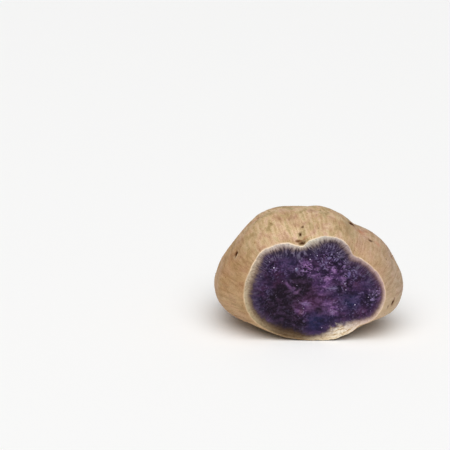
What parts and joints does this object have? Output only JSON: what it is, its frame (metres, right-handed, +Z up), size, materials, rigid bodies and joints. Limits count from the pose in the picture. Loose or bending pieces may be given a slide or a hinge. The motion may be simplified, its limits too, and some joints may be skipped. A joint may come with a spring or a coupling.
{
  "type": "cut purple yam",
  "caption": "Thick end piece of a purple-fleshed tuber lying on its side, with tan furrowed skin, a dry stalk nub at the rear and a flat sliced face.",
  "frame": {"origin": "bottom centre of the whole piece, on the surface it rests on", "axes": "+Z up, +X across the width, the cut face looks along -Y and the stalk nub points along +Y"},
  "size_m": [0.1048, 0.086, 0.0649],
  "materials": {
    "skin": "thin tan corky skin, satin, with fine lengthwise wrinkles",
    "flesh": "moist cut flesh, violet with lilac marbling inside a cream rind"
  },
  "bodies": {
    "root": {"cut_yam": "skin"}
  },
  "joints": []
}
